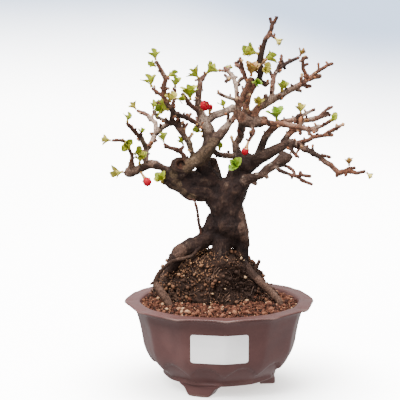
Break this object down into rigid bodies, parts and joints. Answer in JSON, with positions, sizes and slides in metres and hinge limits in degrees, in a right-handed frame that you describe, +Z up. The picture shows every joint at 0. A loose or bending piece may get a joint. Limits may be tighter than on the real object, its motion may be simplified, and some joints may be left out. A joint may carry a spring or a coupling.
{
  "type": "flowering quince bonsai in a pot",
  "caption": "Small old flowering quince on a mound of its roots, with young leaves and red buds, in a lobed brown clay bowl on bracket feet.",
  "frame": {"origin": "middle of the whole plant's box, on the surface that the pot's feet stand on", "axes": "+Z up, -Y towards the front of the plant, with the sticker; +X to its right seen from the front"},
  "size_m": [0.2202, 0.1596, 0.3079],
  "materials": {
    "bark": "rough grey-brown bark, darker in the cracks",
    "root_soil": "dark fibrous old soil and fine roots",
    "grit": "loose reddish-brown grit with pale pebbles",
    "clay": "unglazed purple-brown clay with a satin sheen",
    "label": "smooth white sticker, blank",
    "screen": "black plastic mesh",
    "leaf": "fresh yellow-green young leaf",
    "petal": "soft bright red petal",
    "stamen": "cream-yellow filaments and anthers",
    "sepal": "yellow-green cup with reddish edges"
  },
  "bodies": {
    "root": {"bloom_calyx": "sepal", "bloom_petals": "petal", "bloom_stamens": "stamen", "drain_screen": "screen", "grit_bed": "grit", "hanging_bud_calyx": "sepal", "hanging_bud_petals": "petal", "leaf_tuft_01": "leaf", "leaf_tuft_02": "leaf", "leaf_tuft_03": "leaf", "leaf_tuft_04": "leaf", "leaf_tuft_05": "leaf", "leaf_tuft_06": "leaf", "leaf_tuft_07": "leaf", "leaf_tuft_08": "leaf", "leaf_tuft_09": "leaf", "leaf_tuft_10": "leaf", "leaf_tuft_11": "leaf", "leaf_tuft_12": "leaf", "leaf_tuft_13": "leaf", "leaf_tuft_14": "leaf", "leaf_tuft_15": "leaf", "leaf_tuft_16": "leaf", "leaf_tuft_17": "leaf", "leaf_tuft_18": "leaf", "leaf_tuft_19": "leaf", "leaf_tuft_20": "leaf", "leaf_tuft_21": "leaf", "leaf_tuft_22": "leaf", "leaf_tuft_23": "leaf", "leaf_tuft_24": "leaf", "leaf_tuft_25": "leaf", "leaf_tuft_26": "leaf", "leaf_tuft_27": "leaf", "leaf_tuft_28": "leaf", "leaf_tuft_29": "leaf", "leaf_tuft_30": "leaf", "leaf_tuft_31": "leaf", "leaf_tuft_32": "leaf", "leaf_tuft_33": "leaf", "leaf_tuft_34": "leaf", "leaf_tuft_35": "leaf", "leaf_tuft_36": "leaf", "leaf_tuft_37": "leaf", "leaf_tuft_38": "leaf", "leaf_tuft_39": "leaf", "leaf_tuft_40": "leaf", "leaf_tuft_41": "leaf", "leaf_tuft_42": "leaf", "leaf_tuft_43": "leaf", "leaf_tuft_44": "leaf", "left_bud_calyx": "sepal", "left_bud_petals": "petal", "pot": "clay", "pot_label": "label", "root_mound": "root_soil", "small_bud_calyx": "sepal", "small_bud_petals": "petal", "tree": "bark"}
  },
  "joints": []
}
